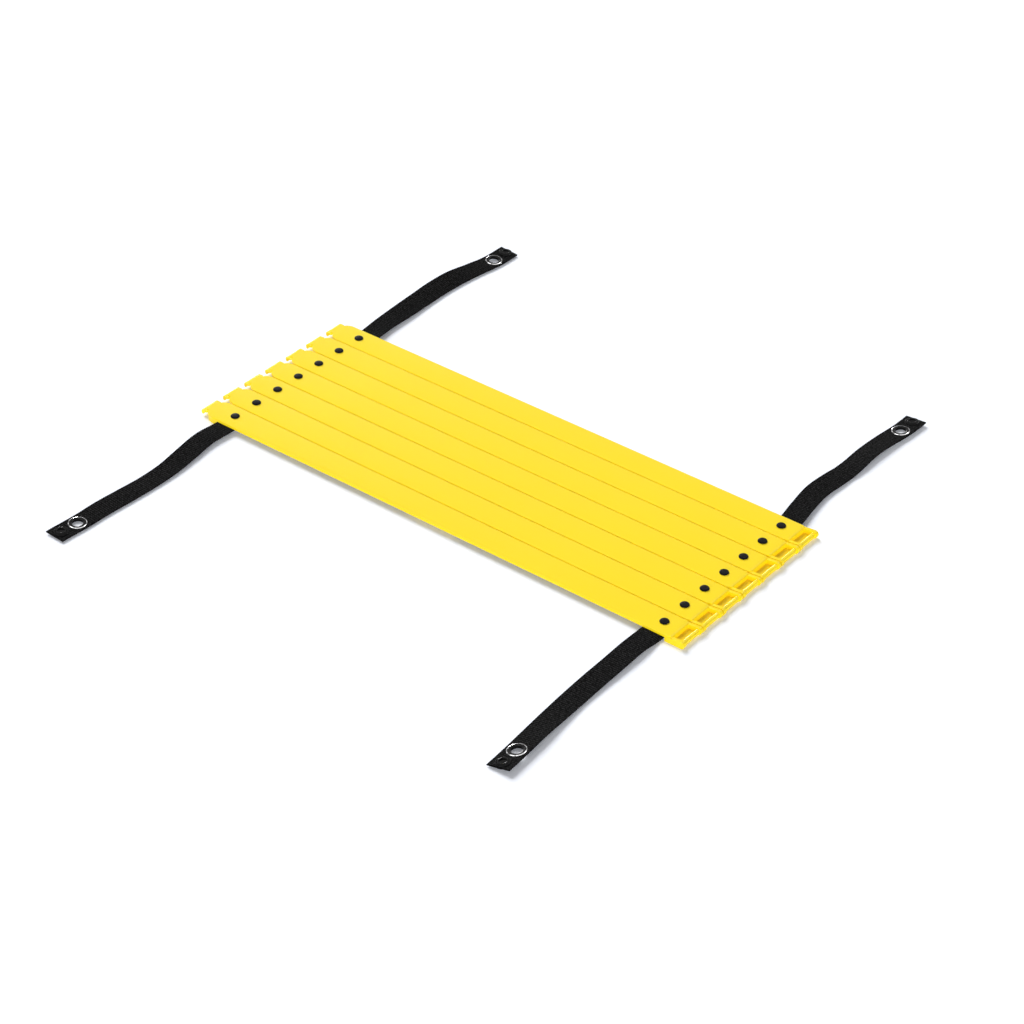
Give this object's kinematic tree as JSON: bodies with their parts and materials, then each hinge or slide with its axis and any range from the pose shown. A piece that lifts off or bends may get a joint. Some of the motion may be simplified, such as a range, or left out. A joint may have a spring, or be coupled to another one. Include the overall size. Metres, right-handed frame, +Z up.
{
  "type": "agility ladder",
  "caption": "Training ladder gathered flat: crowned plastic rungs with hook and bar ends, riveted to webbing straps whose loose ends carry an eyelet and a press stud.",
  "frame": {"origin": "on the ground, in the middle of the gathered ladder's box, under the middle rung", "axes": "+X along the rungs towards their bar ends, +Y along the straps towards the back tails, +Z up"},
  "size_m": [0.489, 0.5556, 0.0078],
  "materials": {
    "rung_plastic": "smooth satin yellow",
    "rivet_plastic": "satin black",
    "webbing": "black plain-woven webbing",
    "eyelet_metal": "bright nickel plate",
    "stud_metal": "gloss black"
  },
  "bodies": {
    "rung_1": {"rung_1": "rung_plastic", "rivet_left_1": "rivet_plastic", "rivet_right_1": "rivet_plastic", "strap_left_1": "webbing", "strap_right_1": "webbing"},
    "rung_2": {"rung_2": "rung_plastic", "rivet_left_2": "rivet_plastic", "rivet_right_2": "rivet_plastic", "strap_left_2": "webbing", "strap_right_2": "webbing"},
    "rung_3": {"rung_3": "rung_plastic", "rivet_left_3": "rivet_plastic", "rivet_right_3": "rivet_plastic", "strap_left_3": "webbing", "strap_right_3": "webbing"},
    "rung_4": {"rung_4": "rung_plastic", "rivet_left_4": "rivet_plastic", "rivet_right_4": "rivet_plastic", "strap_left_4": "webbing", "strap_right_4": "webbing"},
    "rung_5": {"rung_5": "rung_plastic", "rivet_left_5": "rivet_plastic", "rivet_right_5": "rivet_plastic", "strap_left_5": "webbing", "strap_right_5": "webbing"},
    "rung_6": {"rung_6": "rung_plastic", "rivet_left_6": "rivet_plastic", "rivet_right_6": "rivet_plastic", "strap_left_6": "webbing", "strap_right_6": "webbing"},
    "rung_7": {"rung_7": "rung_plastic", "rivet_left_7": "rivet_plastic", "rivet_right_7": "rivet_plastic", "strap_left_7": "webbing", "strap_right_7": "webbing"},
    "tail_front_left": {"tail_front_left": "webbing", "eyelet_front_left": "eyelet_metal", "eyelet_washer_front_left": "eyelet_metal", "stud_socket_front_left": "stud_metal", "stud_cap_front_left": "stud_metal"},
    "tail_front_right": {"tail_front_right": "webbing", "eyelet_front_right": "eyelet_metal", "eyelet_washer_front_right": "eyelet_metal", "stud_socket_front_right": "stud_metal", "stud_cap_front_right": "stud_metal"},
    "tail_back_left": {"tail_back_left": "webbing", "eyelet_back_left": "eyelet_metal", "eyelet_washer_back_left": "eyelet_metal", "stud_socket_back_left": "stud_metal", "stud_cap_back_left": "stud_metal"},
    "tail_back_right": {"tail_back_right": "webbing", "eyelet_back_right": "eyelet_metal", "eyelet_washer_back_right": "eyelet_metal", "stud_socket_back_right": "stud_metal", "stud_cap_back_right": "stud_metal"}
  },
  "joints": [
    {"name": "spread_1", "type": "slide", "parent": "rung_1", "child": "rung_2", "axis": [0, 1, 0], "range_m": [0, 0.3556], "deforming": ["strap_left_1", "strap_right_1"]},
    {"name": "spread_2", "type": "slide", "parent": "rung_2", "child": "rung_3", "axis": [0, 1, 0], "range_m": [0, 0.3556], "deforming": ["strap_left_2", "strap_right_2"]},
    {"name": "spread_3", "type": "slide", "parent": "rung_3", "child": "rung_4", "axis": [0, 1, 0], "range_m": [0, 0.3556], "deforming": ["strap_left_3", "strap_right_3"]},
    {"name": "spread_4", "type": "slide", "parent": "rung_4", "child": "rung_5", "axis": [0, 1, 0], "range_m": [0, 0.3556], "deforming": ["strap_left_4", "strap_right_4"]},
    {"name": "spread_5", "type": "slide", "parent": "rung_5", "child": "rung_6", "axis": [0, 1, 0], "range_m": [0, 0.3556], "deforming": ["strap_left_5", "strap_right_5"]},
    {"name": "spread_6", "type": "slide", "parent": "rung_6", "child": "rung_7", "axis": [0, 1, 0], "range_m": [0, 0.3556], "deforming": ["strap_left_6", "strap_right_6"]},
    {"name": "fold_front_left", "type": "hinge", "parent": "rung_1", "child": "tail_front_left", "pos_m": [-0.21445, -0.08724, 0.00635], "axis": [-1, 0, 0], "range_deg": [0, 177]},
    {"name": "fold_front_right", "type": "hinge", "parent": "rung_1", "child": "tail_front_right", "pos_m": [0.21775, -0.08724, 0.00635], "axis": [-1, 0, 0], "range_deg": [0, 177]},
    {"name": "fold_back_left", "type": "hinge", "parent": "rung_7", "child": "tail_back_left", "pos_m": [-0.21445, 0.09036, 0.00635], "axis": [1, 0, 0], "range_deg": [0, 177]},
    {"name": "fold_back_right", "type": "hinge", "parent": "rung_7", "child": "tail_back_right", "pos_m": [0.21775, 0.09036, 0.00635], "axis": [1, 0, 0], "range_deg": [0, 177]}
  ]
}
